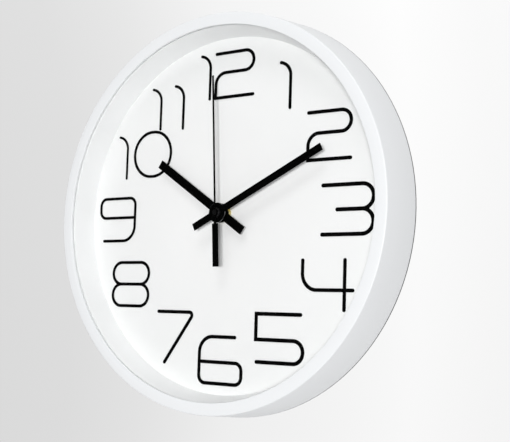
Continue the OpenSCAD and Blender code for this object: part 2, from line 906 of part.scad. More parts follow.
// Steel lamination: a core through the coil, and two cheeks around the rotor's magnet
module stator() {
    half = 0.5;
    low = coil_z - half;
    high = coil_z + half;
    color("silver") placed() difference() {
        union() {
            block([coil_left - 1.6, coil_y - 1, low], [coil_right + 1.6, coil_y + 1, high]);
            block([coil_left - 1.6, coil_y - 6.4, low], [coil_left - 0.2, coil_y + 1, high]);
            block([coil_left - 1.6, coil_y - 6.4, low], [rotor_at[0], coil_y - 4.6, high]);
            block([coil_right + 0.2, coil_y - 1, low], [rotor_at[0] + 5, coil_y + 1, high]);
            at(rotor_at) post(0, 0, 5, low, high, 64);
        }
        at(rotor_at) post(0, 0, 3.3, low - 1, high + 1, 64);
    }
}

module circuit_board() {
    color("darkgreen") placed() difference() {
        block([18.2, partition_top + 0.3, board_z], [26.3, 14, board_front]);
        at(knob_at) post(0, 0, 3, 4, 8, 48);
    }
}

module control_chip() {
    color("black") placed() post(22.4, 3, 2.6, board_front, board_front + 1, 48);
}

module quartz_crystal() {
    color("silver") placed() translate([22.4, 6.6, board_front + 1])
        rotate([-90, 0, 0]) cylinder(r = 1, h = 6, $fn = 48);
}

// AA cell, lying along x with its button to the right
module battery() {
    color("darkorange") placed()
        translate([-battery_length / 2 - 0.5, battery_y, battery_z]) rotate([0, 90, 0]) {
            cylinder(d = battery_diameter, h = battery_length, $fn = 96);
            cylinder(r = 2.75, h = battery_length + 1, $fn = 48);
        }
}

// Bent strip: pad against the cell's end, arm through the partition, foot on the board
module positive_contact() {
    color("silver") placed() {
        block([25.4, battery_y - 4, 4], [25.8, battery_y + 4, 15.2]);
        block([25.4, battery_y, 13], [25.8, partition_top + 1.8, 15]);
        block([25.4, partition_top + 0.8, board_front], [25.8, partition_top + 1.8, 15]);
    }
}

module negative_contact() {
    color("silver") placed() {
        block([-26.5, battery_y - 4, 4], [-26.1, battery_y + 4, 15.2]);
        block([-26.1, battery_y - 1.5, 6.5], [-25.4, battery_y + 1.5, 10]);
        block([-26.5, battery_y, 13], [-26.1, partition_top + 0.7, 15]);
        block([-26.5, partition_top + 0.3, 13], [19.4, partition_top + 0.7, 15]);
        block([18.4, partition_top + 0.3, board_front], [19.4, partition_top + 0.7, 15]);
    }
}

front_housing();
lens();
inner_ring();
dial();
numeral_1();
numeral_2();
numeral_3();
numeral_4();
numeral_5();
numeral_6();
numeral_7();
numeral_8();
numeral_9();
numeral_10();
numeral_11();
numeral_12();
back_cover();
cover_screws();
hour_hand();
hour_collet();
minute_hand();
minute_collet();
second_hand();
second_tube();
movement_case();
movement_cover();
threaded_bushing();
hex_nut();
washer();
rubber_washer();
coil();
coil_bobbin();
stator();
rotor();
rotor_magnet();
intermediate_wheel();
second_wheel();
third_wheel();
centre_wheel();
cannon_pinion();
minute_wheel();
hour_wheel();
setting_knob();
circuit_board();
control_chip();
quartz_crystal();
battery();
positive_contact();
negative_contact();
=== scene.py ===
"""Round wall clock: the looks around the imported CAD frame.

Pieces are drawn in clock space, in millimetres: x to 3, y to 12, z from the wall to the viewer,
with the hands' axis at x = y = 0. row_point() turns that into the part's own frame, in metres.
"""

import math

import bmesh
import bpy
from mathutils import Matrix, Vector


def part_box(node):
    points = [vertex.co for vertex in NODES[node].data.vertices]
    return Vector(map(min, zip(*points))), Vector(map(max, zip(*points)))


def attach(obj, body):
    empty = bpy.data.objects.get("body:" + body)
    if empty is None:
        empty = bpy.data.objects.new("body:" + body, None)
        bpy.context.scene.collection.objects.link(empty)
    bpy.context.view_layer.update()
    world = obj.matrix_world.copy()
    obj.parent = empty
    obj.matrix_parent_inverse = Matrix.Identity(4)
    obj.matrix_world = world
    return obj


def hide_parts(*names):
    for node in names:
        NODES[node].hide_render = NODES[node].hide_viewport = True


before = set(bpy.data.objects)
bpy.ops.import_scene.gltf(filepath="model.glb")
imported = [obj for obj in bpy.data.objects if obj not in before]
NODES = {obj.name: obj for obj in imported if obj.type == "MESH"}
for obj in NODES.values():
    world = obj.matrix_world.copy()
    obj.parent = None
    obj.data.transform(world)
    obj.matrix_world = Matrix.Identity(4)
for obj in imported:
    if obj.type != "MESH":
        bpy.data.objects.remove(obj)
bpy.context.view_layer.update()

MM = 0.001

# ---------------------------------------------------------------- sizes from the frame
shell_low, shell_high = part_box("front_housing")
lens_low, lens_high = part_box("lens")
dial_low, dial_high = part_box("dial")
ring_low, ring_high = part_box("inner_ring")
cell_low, cell_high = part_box("battery")

AXIS_Z = (shell_low.z + shell_high.z) / 2 / MM
REAR_R = (shell_high.x - shell_low.x) / 2 / MM
DEPTH = -shell_low.y / MM
SHELL_REAR = -shell_high.y / MM
LENS_R = (lens_high.x - lens_low.x) / 2 / MM
LENS_FRONT, LENS_BACK = -lens_low.y / MM, -lens_high.y / MM
DIAL_R = (dial_high.x - dial_low.x) / 2 / MM
DIAL_FRONT, DIAL_BACK = -dial_low.y / MM, -dial_high.y / MM
RING_R = (ring_high.x - ring_low.x) / 2 / MM

# Inner sizes of the case, in mm, which the frame's boxes don't show
FRONT_R = 149.5
OPENING_R = 140.3
RIM_ROUND = 1.0
WALL = 2
LENS_SEAT_R = LENS_R + 0.2
COLLAR_R = LENS_R + 1.8
COLLAR_REAR = LENS_BACK - 2.2
REBATE_R = OPENING_R + 0.9
PANE_R = REBATE_R - 0.1
RING_TOP_R, RING_TOP = LENS_R - 0.3, LENS_FRONT - 0.05
RING_FLANGE_TOP = DIAL_FRONT + 1.6
DIAL_EDGE_R = 135.9
DIAL_HOLE_R = 4.2
SCREWS = 6
SCREW_CIRCLE_R = 147
BOSS_R, BOSS_HOLE_R, BOSS_TOP = 3, 1.3, 24

# Straight sides of a surface of revolution, from the largest pieces to the smallest
CASE_STEPS, HUB_STEPS, CELL_STEPS, NUT_STEPS = 288, 144, 96, 72
PAD_STEPS, BOSS_STEPS, STUD_STEPS = 48, 40, 32
FLOOR_STEPS = 96

# Angles in degrees between faces, above which an edge stays sharp or gets a soft edge
SHARP_ANGLE, SOFT_EDGE_ANGLE = 35, 40
# Distances in metres within which vertices are joined, in CAD nodes and in new pieces
WELD_DISTANCE, MERGE_DISTANCE = 1e-6, 1e-7


def row_point(x, y, z):
    """A point of clock space, in mm, in the part's frame, in metres."""
    return Vector((x * MM, -z * MM, (y + AXIS_Z) * MM))


# ---------------------------------------------------------------- mesh building

def rounded(corners, steps=5):
    """An outline whose corners are rounded. A corner is (x, y) or (x, y, rounding radius)."""
    points = []
    count = len(corners)
    for i, corner in enumerate(corners):
        here = Vector(corner[:2])
        if len(corner) == 2:
            points.append(tuple(here))
            continue
        back = (Vector(corners[i - 1][:2]) - here).normalized()
        ahead = (Vector(corners[(i + 1) % count][:2]) - here).normalized()
        half = math.acos(max(-1.0, min(1.0, back.dot(ahead)))) / 2
        centre = here + (back + ahead).normalized() * (corner[2] / math.sin(half))
        start = here + back * (corner[2] / math.tan(half)) - centre
        end = here + ahead * (corner[2] / math.tan(half)) - centre
        first = math.atan2(start.y, start.x)
        sweep = math.atan2(end.y, end.x) - first
        sweep = (sweep + math.pi) % (2 * math.pi) - math.pi
        for step in range(steps + 1):
            angle = first + sweep * step / steps
            points.append(
                (centre.x + corner[2] * math.cos(angle), centre.y + corner[2] * math.sin(angle))
            )
    return points


def finished(name, bm, body, material):
    """Turns a bmesh in the part's frame into a shaded piece that rides on a body."""
    bmesh.ops.remove_doubles(bm, verts=bm.verts, dist=MERGE_DISTANCE)
    bmesh.ops.recalc_face_normals(bm, faces=bm.faces)
    mesh = bpy.data.meshes.new(name)
    bm.to_mesh(mesh)
    bm.free()
    mesh.shade_smooth()
    mesh.set_sharp_from_angle(angle=math.radians(SHARP_ANGLE))
    piece = bpy.data.objects.new(name, mesh)
    bpy.context.scene.collection.objects.link(piece)
    mesh.materials.append(material)
    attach(piece, body)
    return piece


def revolve(bm, outline, steps, to_row=row_point, closed=True):
    """Adds a surface of revolution about z. The outline is (radius, height) pairs. An open
    outline starts and ends on the axis."""
    rings = []
    for radius, height in outline:
        if radius < 1e-6:
            rings.append([bm.verts.new(to_row(0, 0, height))])
            continue
        rings.append([
            bm.verts.new(to_row(
                radius * math.cos(2 * math.pi * i / steps),
                radius * math.sin(2 * math.pi * i / steps),
                height,
            ))
            for i in range(steps)
        ])
    pairs = list(zip(rings, rings[1:] + rings[:1])) if closed else list(zip(rings, rings[1:]))
    for low, high in pairs:
        for i in range(steps):
            j = (i + 1) % steps
            corners = []
            for ring, index in ((low, i), (low, j), (high, j), (high, i)):
                vert = ring[index % len(ring)]
                if vert not in corners:
                    corners.append(vert)
            if len(corners) > 2:
                bm.faces.new(corners)


# ---------------------------------------------------------------- materials

BLACK, WHITE = (0, 0, 0), (1, 1, 1)


def set_stops(ramp, stops):
    """Gives a colour ramp its stops, each of them (position, colour)."""
    while len(ramp.elements) < len(stops):
        ramp.elements.new(0.5)
    for element, (position, colour) in zip(ramp.elements, stops):
        element.position = position
        element.color = (*colour, 1)


class Nodes:
    """A material's node tree with short names for what this script uses."""

    SOCKETS = {
        "colour": "Base Color", "rough": "Roughness", "metal": "Metallic", "normal": "Normal",
        "specular": "Specular IOR Level", "alpha": "Alpha",
    }

    def __init__(self, name):
        self.material = bpy.data.materials.new(name)
        self.material.use_nodes = True
        self.tree = self.material.node_tree
        self.shader = self.tree.nodes["Principled BSDF"]
        self.place = self.add("ShaderNodeTexCoord").outputs["Object"]

    def add(self, kind, **values):
        node = self.tree.nodes.new(kind)
        for key, value in values.items():
            setattr(node, key, value)
        return node

    def link(self, output, target):
        self.tree.links.new(output, target)

    def noise(self, scale, detail=3.0, stretch=(1, 1, 1)):
        """Noise with about that many features per metre, times the stretch along each axis."""
        mapping = self.add("ShaderNodeMapping")
        mapping.inputs["Scale"].default_value = stretch
        self.link(self.place, mapping.inputs["Vector"])
        noise = self.add("ShaderNodeTexNoise")
        noise.inputs["Scale"].default_value = scale
        noise.inputs["Detail"].default_value = detail
        self.link(mapping.outputs["Vector"], noise.inputs["Vector"])
        return noise.outputs["Fac"]

    def spread(self, value, low, high, start=0.3, end=0.7):
        """Maps a value that runs from start to end to a range of numbers."""
        node = self.add("ShaderNodeMapRange")
        node.inputs["From Min"].default_value = start
        node.inputs["From Max"].default_value = end
        node.inputs["To Min"].default_value = low
        node.inputs["To Max"].default_value = high
        self.link(value, node.inputs["Value"])
        return node.outputs["Result"]

    def tint(self, value, stops):
        """Maps a value to colours. Stops are (position, colour)."""
        node = self.add("ShaderNodeValToRGB")
        set_stops(node.color_ramp, stops)
        self.link(value, node.inputs["Fac"])
        return node.outputs["Color"]

    def bump(self, height, distance, strength=1.0, under=None):
        """A bump of that distance in metres, on top of another normal if one is given."""
        node = self.add("ShaderNodeBump")
        node.inputs["Distance"].default_value = distance
        node.inputs["Strength"].default_value = strength
        self.link(height, node.inputs["Height"])
        if under is not None:
            self.link(under, node.inputs["Normal"])
        return node.outputs["Normal"]

    def set(self, **values):
        """Links or sets the shader's sockets, each named by its key in SOCKETS."""
        for key, value in values.items():
            socket = self.shader.inputs[self.SOCKETS[key]]
            if isinstance(value, bpy.types.NodeSocket):
                self.link(value, socket)
            elif isinstance(value, tuple):
                socket.default_value = (*value, 1)
            else:
                socket.default_value = value


def blend(a, b, share):
    """The colour that lies that share of the way from a to b."""
    return tuple(x + (y - x) * share for x, y in zip(a, b))


def plastic(name, colour, vary, rough, grain=900, depth=0.00002, specular=0.5, patches=30):
    """Moulded plastic: faint cloudiness of the colour, uneven gloss and a fine moulded grain.
    Grain and patches are features per metre, and depth is the grain's height in metres."""
    m = Nodes(name)
    lighter, darker = blend(colour, WHITE, vary), blend(colour, BLACK, vary)
    clouds = m.noise(patches, 4)
    m.set(colour=m.tint(clouds, [(0.35, darker), (0.65, lighter)]))
    m.set(rough=m.spread(m.noise(patches * 4, 5), rough - 0.05, rough + 0.06))
    waves = m.bump(m.noise(patches * 2, 1), depth * 2, 0.35)
    m.set(normal=m.bump(m.noise(grain, 2), depth, 0.5, waves), specular=specular)
    return m.material


def metal(name, colour, rough, stretch=(1, 1, 1), scratches=1500, depth=0.00001):
    """Bare metal with fine drawn or turned marks and a little dulling in patches."""
    vary = 0.12
    m = Nodes(name)
    dull = m.noise(220, 5)
    m.set(colour=m.tint(dull, [(0.3, blend(colour, BLACK, vary)), (0.7, colour)]), metal=1.0)
    marks = m.noise(scratches, 3, stretch)
    m.set(rough=m.spread(marks, rough - 0.08, rough + 0.12))
    m.set(normal=m.bump(marks, depth, 0.6))
    return m.material


def dial_card():
    """The dial's card: white, with faint clouds and a fine paper grain. Painted shade: the white
    darkens from 50 mm off its centre out to its edge, against the light the ring bounces onto it."""
    inner, outer = 0.05, 0.136
    m = Nodes("white_dial")
    centred = m.add("ShaderNodeVectorMath", operation="SUBTRACT")
    m.link(m.place, centred.inputs[0])
    centred.inputs[1].default_value = row_point(0, 0, DIAL_FRONT)
    reach = m.add("ShaderNodeVectorMath", operation="LENGTH")
    m.link(centred.outputs[0], reach.inputs[0])
    share = m.spread(reach.outputs["Value"], 0, 1, inner, outer)
    # Painted shade: the white darkens towards the dial's rim
    fade = m.tint(share, [
        (0, (0.975, 0.98, 0.978)), (0.55, (0.957, 0.964, 0.962)), (1, (0.905, 0.914, 0.91)),
    ])
    clouds = m.tint(m.noise(14, 4), [(0.35, (0.988, 0.988, 0.988)), (0.65, WHITE)])
    mixed = m.add("ShaderNodeVectorMath", operation="MULTIPLY")
    m.link(fade, mixed.inputs[0])
    m.link(clouds, mixed.inputs[1])
    m.set(colour=mixed.outputs[0], rough=m.spread(m.noise(56, 5), 0.57, 0.68), specular=0.3)
    m.set(normal=m.bump(m.noise(2600, 2), 0.00001, 0.5))
    return m.material


def clear_plastic():
    """Clear lens. It lets light through by its alpha, so that the hands still cast shadows."""
    m = Nodes("clear_lens")
    haze = [(0.3, (0.01, 0.012, 0.012)), (0.7, (0.02, 0.024, 0.024))]
    m.set(colour=m.tint(m.noise(12, 3), haze))
    m.set(rough=m.spread(m.noise(160, 4), 0.03, 0.07), alpha=0.012, specular=0.8)
    m.set(normal=m.bump(m.noise(9, 1), 0.00002, 0.3))
    return m.material


SHELL_WHITE = plastic(
    "white_shell", (0.90, 0.915, 0.93), 0.006, 0.44, depth=0.000006, specular=0.35,
)
RING_WHITE = plastic("white_ring", (0.95, 0.96, 0.962), 0.006, 0.42)
DIAL_WHITE = dial_card()
NUMERAL_BLACK = plastic("black_numeral", (0.001, 0.001, 0.001), 0.0004, 0.42, specular=0.015)
HAND_BLACK = plastic(
    "black_hand", (0.0006, 0.0006, 0.0006), 0.0003, 0.38, specular=0.01, grain=1600,
)
COVER_GREY = plastic("grey_cover", (0.13, 0.132, 0.135), 0.015, 0.55, grain=1400, depth=0.00006)
CASE_BLACK = plastic("case_plastic", (0.018, 0.018, 0.02), 0.01, 0.45, grain=1500, depth=0.00005)
KNOB_BLACK = plastic("knob_plastic", (0.02, 0.02, 0.022), 0.01, 0.5, grain=1800, depth=0.00003)
GEAR_NATURAL = plastic("gear_plastic", (0.80, 0.77, 0.66), 0.02, 0.35)
NYLON_WHITE = plastic("white_nylon", (0.82, 0.81, 0.76), 0.02, 0.4)
BOARD_GREEN = plastic("board_green", (0.02, 0.16, 0.07), 0.03, 0.3, grain=2600, patches=200)
CHIP_BLACK = plastic("chip_black", (0.012, 0.012, 0.012), 0.01, 0.2, patches=400)
RUBBER_BLACK = plastic("black_rubber", (0.012, 0.012, 0.012), 0.01, 0.8, grain=2500)
COPPER = metal("copper_wire", (0.70, 0.28, 0.12), 0.35, (1, 14, 14), 400, 0.00006)
BRASS = metal("neck_brass", (0.86, 0.74, 0.34), 0.26, (1, 6, 1), 900)
COLLET_DARK = metal("dark_collet", (0.025, 0.025, 0.026), 0.32, (1, 8, 1), 1600)
EDGE_METAL = metal("hub_edge", (0.30, 0.30, 0.30), 0.35)
SCREW_STEEL = metal("screw_steel", (0.62, 0.63, 0.64), 0.3)
CORE_STEEL = metal("core_steel", (0.55, 0.56, 0.58), 0.35, (6, 1, 1))
MAGNET_GREY = metal("magnet", (0.12, 0.12, 0.13), 0.45)
CAN_STEEL = metal("can_steel", (0.70, 0.70, 0.71), 0.22, (6, 1, 1))
NICKEL = metal("contact_nickel", (0.72, 0.70, 0.66), 0.25, (1, 1, 5))
LENS_CLEAR = clear_plastic()
CELL_LABEL = plastic("cell_label", (0.05, 0.13, 0.30), 0.02, 0.25, grain=700)


# ---------------------------------------------------------------- CAD nodes that stay

def keep(material, *names, edge=0.0, segments=2):
    """CAD nodes keep their shape. They get a finish and, with an edge width in mm, soft edges."""
    for name in names:
        node = NODES[name]
        node.data.materials.clear()
        node.data.materials.append(material)
        if edge:
            weld = node.modifiers.new("weld", "WELD")
            weld.merge_threshold = WELD_DISTANCE
            bevel = node.modifiers.new("edges", "BEVEL")
            bevel.width = edge * MM
            bevel.segments = segments
            bevel.limit_method = "ANGLE"
            bevel.angle_limit = math.radians(SOFT_EDGE_ANGLE)
            smooth = node.modifiers.new("normals", "WEIGHTED_NORMAL")
            smooth.keep_sharp = True


numerals = [f"numeral_{n}" for n in range(1, 13)]
keep(NUMERAL_BLACK, *numerals, edge=0.12)
keep(HAND_BLACK, "hour_hand", "minute_hand", edge=0.15)
keep(HAND_BLACK, "second_hand", edge=0.1)
keep(COLLET_DARK, "hour_collet", "minute_collet", "second_tube", edge=0.12, segments=3)
keep(BRASS, "threaded_bushing", edge=0.06)
keep(BRASS, "hex_nut", edge=0.3, segments=3)
keep(BRASS, "washer", edge=0.1)
keep(RUBBER_BLACK, "rubber_washer")
keep(COVER_GREY, "back_cover", edge=0.3)
keep(SCREW_STEEL, "cover_screws", edge=0.2)
keep(CASE_BLACK, "movement_case", "movement_cover", edge=0.3)
keep(KNOB_BLACK, "setting_knob", edge=0.15)
keep(GEAR_NATURAL, "rotor", "intermediate_wheel", "second_wheel", "third_wheel", "centre_wheel",
     "cannon_pinion", "minute_wheel", "hour_wheel")
keep(MAGNET_GREY, "rotor_magnet", edge=0.1)
keep(NYLON_WHITE, "coil_bobbin")
keep(COPPER, "coil")
keep(CORE_STEEL, "stator", edge=0.05)
keep(BOARD_GREEN, "circuit_board")
keep(CHIP_BLACK, "control_chip", edge=0.3)
keep(CAN_STEEL, "quartz_crystal", edge=0.2)
keep(NICKEL, "positive_contact", "negative_contact")

# ---------------------------------------------------------------- case, lens and dial

# Bezel and side wall in one moulding, with a collar round the lens
bm = bmesh.new()
revolve(bm, rounded([
    (REAR_R, SHELL_REAR, 0.35), (FRONT_R, DEPTH, RIM_ROUND), (OPENING_R, DEPTH, 0.35),
    (OPENING_R, LENS_FRONT, 0.1), (LENS_SEAT_R, LENS_FRONT), (LENS_SEAT_R, COLLAR_REAR),
    (COLLAR_R, COLLAR_REAR, 0.2), (COLLAR_R, DEPTH - WALL, 0.3),
    (FRONT_R - WALL - 0.6, DEPTH - WALL, 0.8), (REAR_R - WALL, SHELL_REAR, 0.2),
]), CASE_STEPS)
shell = finished("case_shell", bm, "root", SHELL_WHITE)
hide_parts("front_housing")

# Bosses inside the side wall, which the cover's screws go into
bm = bmesh.new()
for index in range(SCREWS):
    angle = math.pi / SCREWS * (2 * index + 1)
    centre_x, centre_y = SCREW_CIRCLE_R * math.cos(angle), SCREW_CIRCLE_R * math.sin(angle)
    revolve(bm, rounded([
        (BOSS_R, SHELL_REAR), (BOSS_R, BOSS_TOP, 0.4), (BOSS_HOLE_R, BOSS_TOP, 0.2),
        (BOSS_HOLE_R, SHELL_REAR),
    ]), BOSS_STEPS, lambda x, y, z: row_point(x + centre_x, y + centre_y, z))
finished("screw_bosses", bm, "root", SHELL_WHITE)

# The lens, as far as it can be seen
bm = bmesh.new()
revolve(bm, rounded([
    (0, LENS_BACK), (PANE_R, LENS_BACK, 0.2), (PANE_R, LENS_FRONT, 0.2), (0, LENS_FRONT),
]), CASE_STEPS, closed=False)
lens = finished("lens_pane", bm, "root", LENS_CLEAR)
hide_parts("lens")

# The sloped ring, whose outer collar also fills the lens's seat under the bezel's lip
bm = bmesh.new()
revolve(bm, rounded([
    (OPENING_R + 0.2, LENS_BACK, 0.3), (REBATE_R, LENS_BACK), (REBATE_R, RING_TOP, 0.1),
    (RING_TOP_R, RING_TOP, 0.1), (RING_TOP_R, LENS_BACK - 4),
    (OPENING_R + 1.9, LENS_BACK - 4.6), (DIAL_EDGE_R + 2.1, RING_FLANGE_TOP, 0.3),
    (RING_R, RING_FLANGE_TOP), (RING_R, DIAL_FRONT), (DIAL_EDGE_R, DIAL_FRONT),
]), CASE_STEPS)
ring = finished("sloped_ring", bm, "root", RING_WHITE)
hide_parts("inner_ring")

# The dial, with a hole for the movement's bushing
bm = bmesh.new()
revolve(bm, rounded([
    (DIAL_HOLE_R, DIAL_BACK), (DIAL_R, DIAL_BACK, 0.15), (DIAL_R, DIAL_FRONT, 0.15),
    (DIAL_HOLE_R, DIAL_FRONT, 0.1),
]), CASE_STEPS)
dial = finished("dial_plate", bm, "root", DIAL_WHITE)
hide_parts("dial")

# ---------------------------------------------------------------- hub

minute_low, minute_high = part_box("minute_hand")
MINUTE_MID = -(minute_low.y + minute_high.y) / 2 / MM
CANNON_TOP = -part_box("cannon_pinion")[0].y / MM
HUB_R = 7.5
BAND, BAND_HALF = 0.05, 0.26
SHAFT_BORE_R, NUT_R, NUT_TOP_R = 0.8, 3.1, 2.2
NUT_SHOULDER, NUT_TOP = CANNON_TOP + 0.45, CANNON_TOP + 0.75

# A thin band of bare metal round the edge of the minute hand's hub
bm = bmesh.new()
revolve(bm, rounded([
    (HUB_R - BAND, MINUTE_MID - BAND_HALF), (HUB_R + BAND, MINUTE_MID - BAND_HALF, 0.04),
    (HUB_R + BAND, MINUTE_MID + BAND_HALF, 0.04), (HUB_R - BAND, MINUTE_MID + BAND_HALF),
], 3), HUB_STEPS)
finished("minute_hub_edge", bm, "minute_arbor", EDGE_METAL)

# A small round nut on the end of the minute shaft
bm = bmesh.new()
revolve(bm, rounded([
    (SHAFT_BORE_R, CANNON_TOP), (NUT_R, CANNON_TOP, 0.1), (NUT_R, NUT_SHOULDER, 0.2),
    (NUT_TOP_R, NUT_TOP, 0.3), (SHAFT_BORE_R, NUT_TOP, 0.1),
], 3), NUT_STEPS)
finished("minute_shaft_nut", bm, "minute_arbor", COLLET_DARK)

# ---------------------------------------------------------------- battery

CELL_R = (cell_high.z - cell_low.z) / 2 / MM
CELL_Y = (cell_low.z + cell_high.z) / 2 / MM - AXIS_Z
CELL_Z = -(cell_low.y + cell_high.y) / 2 / MM
CELL_START, BUTTON_END = cell_low.x / MM, cell_high.x / MM
BUTTON = 1
CAN = BUTTON_END - BUTTON - CELL_START
CAN_R, BUTTON_R = 6.7, 2.75


def cell_point(x, y, z):
    """A point of a shape turned about the cell's axis, with z from its negative end."""
    return row_point(CELL_START + z, CELL_Y + x, CELL_Z + y)


# The printed sleeve, with a groove near the positive end
bm = bmesh.new()
revolve(bm, rounded([
    (6.1, 0.2, 0.05), (CELL_R, 0.1, 0.5), (CELL_R, CAN - 1.5, 0.25),
    (CELL_R - 0.25, CAN - 1.2, 0.2), (CELL_R - 0.05, CAN - 0.9, 0.2),
    (CELL_R - 0.05, CAN - 0.2, 0.45), (6.2, CAN - 0.1, 0.05), (6.2, CAN - 0.5),
    (CAN_R + 0.1, CAN - 0.8), (CAN_R + 0.1, 0.8), (6.1, 0.5),
], 4), CELL_STEPS, cell_point)
sleeve = finished("cell_sleeve", bm, "cell", CELL_LABEL)
# The bare can inside it, from the dished negative end to the button
bm = bmesh.new()
revolve(bm, rounded([
    (0, 0.12), (3.6, 0.12, 0.1), (3.9, 0.02, 0.1), (5.7, 0.02, 0.2), (6.05, 0.35, 0.1),
    (CAN_R, 0.9, 0.1), (CAN_R, CAN - 0.9, 0.1), (6.15, CAN - 0.3, 0.1), (5.4, CAN - 0.25, 0.1),
    (5.1, CAN - 0.6, 0.1), (3.4, CAN - 0.6, 0.2), (BUTTON_R, CAN - 0.2, 0.2),
    (BUTTON_R, CAN + BUTTON, 0.35), (1.2, CAN + BUTTON, 0.1), (1, CAN + BUTTON - 0.1, 0.1),
    (0, CAN + BUTTON - 0.1),
], 4), CELL_STEPS, cell_point, closed=False)
finished("cell_can", bm, "cell", CAN_STEEL)
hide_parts("battery")

# ---------------------------------------------------------------- moulded marks on the movement

knob_low, knob_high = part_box("setting_knob")
KNOB_X = (knob_low.x + knob_high.x) / 2 / MM
KNOB_Y = (knob_low.z + knob_high.z) / 2 / MM - AXIS_Z
cover_low, cover_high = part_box("movement_cover")
COVER_REAR = -cover_high.y / MM
COVER_RIGHT = cover_high.x / MM
COVER_TOP = cover_high.z / MM - AXIS_Z
COVER_BOTTOM = cover_low.z / MM - AXIS_Z

MARK_TOP = COVER_REAR - 0.35
# Marks, pads and studs all start a little inside the plate
MARK_FOOT = COVER_REAR + 0.1
ARROW_R, ARROW_INNER_R = 7, 6.3
ARROW_TIP, ARROW_TIP_R = math.radians(212), 6.65
ARROW_HEAD_R, ARROW_HEAD_INNER_R = 8, 5.3
# Places of the polarity signs, and half a sign's length and half its width
SIGN_Y, MINUS_X, PLUS_X, SIGN, SIGN_HALF = -8.55, -21.6, 24, 1.8, 0.35
RIDGE_INSET, RIDGE = 1.8, 0.7
PAD_TOP, PAD_DISH = COVER_REAR - 0.5, COVER_REAR - 0.25
PADS = ((0, 0, 5.4), (-8, 4.6, 3.2), (5, 8.7, 3.2), (9.6, 16.6, 3.6))
STUD_R, STUD_TOP = 0.95, COVER_REAR - 0.6
STUDS = ((-25.1, 25.1), (25.1, 25.1), (-16, -8.8), (14, -9))


def raised(bm, outline):
    """Adds a flat shape that stands proud of the movement's rear plate."""
    rings = [
        [bm.verts.new(row_point(x, y, z)) for x, y in outline] for z in (MARK_FOOT, MARK_TOP)
    ]
    for ring in rings:
        bm.faces.new(ring)
    for i in range(len(outline)):
        j = (i + 1) % len(outline)
        bm.faces.new((rings[0][i], rings[0][j], rings[1][j], rings[1][i]))


def bar(bm, x0, y0, x1, y1):
    """Adds a raised rectangle, from its lowest to its highest x and y."""
    raised(bm, [(x0, y0), (x1, y0), (x1, y1), (x0, y1)])


def round_knob(radius, angle):
    """A point at that distance and angle from the knob's axis."""
    return KNOB_X + radius * math.cos(angle), KNOB_Y + radius * math.sin(angle)


bm = bmesh.new()
# A curved arrow round the knob, for setting the hands
arc = [math.radians(angle) for angle in range(75, 196, 6)]
raised(bm, [round_knob(ARROW_R, a) for a in arc]
       + [round_knob(ARROW_INNER_R, a) for a in reversed(arc)])
raised(bm, [
    round_knob(ARROW_TIP_R, ARROW_TIP), round_knob(ARROW_HEAD_R, arc[-1]),
    round_knob(ARROW_HEAD_INNER_R, arc[-1]),
])
# Battery polarity: a minus at smaller x, and a plus whose upright is in two halves
for x in (MINUS_X, PLUS_X):
    bar(bm, x - SIGN, SIGN_Y - SIGN_HALF, x + SIGN, SIGN_Y + SIGN_HALF)
bar(bm, PLUS_X - SIGN_HALF, SIGN_Y - SIGN, PLUS_X + SIGN_HALF, SIGN_Y - SIGN_HALF)
bar(bm, PLUS_X - SIGN_HALF, SIGN_Y + SIGN_HALF, PLUS_X + SIGN_HALF, SIGN_Y + SIGN)
# A ridge just inside the plate's edge, in four straight runs that leave its corners free
left, right = -COVER_RIGHT + RIDGE_INSET, COVER_RIGHT - RIDGE_INSET
top, bottom = COVER_TOP - RIDGE_INSET, COVER_BOTTOM + RIDGE_INSET
for corners in (
    (-COVER_RIGHT + 4, top, COVER_RIGHT - 4, top + RIDGE),
    (left, COVER_BOTTOM + 6, left + RIDGE, COVER_TOP - 4),
    (right - RIDGE, COVER_BOTTOM + 12, right, COVER_TOP - 4),
    (-12, bottom, 8, bottom + RIDGE),
):
    bar(bm, *corners)
# Round dished pads under the wheels' bearings
for x, y, radius in PADS:
    revolve(bm, rounded([
        (0, MARK_FOOT), (radius, MARK_FOOT), (radius, PAD_TOP, 0.3),
        (radius - 1.1, PAD_TOP, 0.1), (radius - 1.3, PAD_DISH, 0.1), (0, PAD_DISH),
    ], 3), PAD_STEPS, lambda px, py, pz: row_point(px + x, py + y, pz), closed=False)
finished("movement_marks", bm, "root", CASE_BLACK)

# Round-headed studs that hold the plate
bm = bmesh.new()
for x, y in STUDS:
    revolve(bm, rounded([
        (0, MARK_FOOT), (STUD_R, MARK_FOOT), (STUD_R, STUD_TOP, 0.4), (0, STUD_TOP),
    ], 4), STUD_STEPS, lambda px, py, pz: row_point(px + x, py + y, pz), closed=False)
finished("plate_studs", bm, "root", CASE_BLACK)

# ---------------------------------------------------------------- stage, light and camera

# The camera's line of sight in degrees, its distance in mm, and how far the centre of the
# bezel's face lies to the right of and above that line, in mm
CAMERA_AZIMUTH, CAMERA_ELEVATION, CAMERA_ROLL = 35.305, -5.305, -1.733
CAMERA_DISTANCE, CENTRE_RIGHT, CENTRE_UP = 742.834, -35.667, 7.519
# Its focal length in widths of the picture, and the width of its sensor in mm
FOCAL_WIDTHS, SENSOR_WIDTH = 1004 / 510, 36


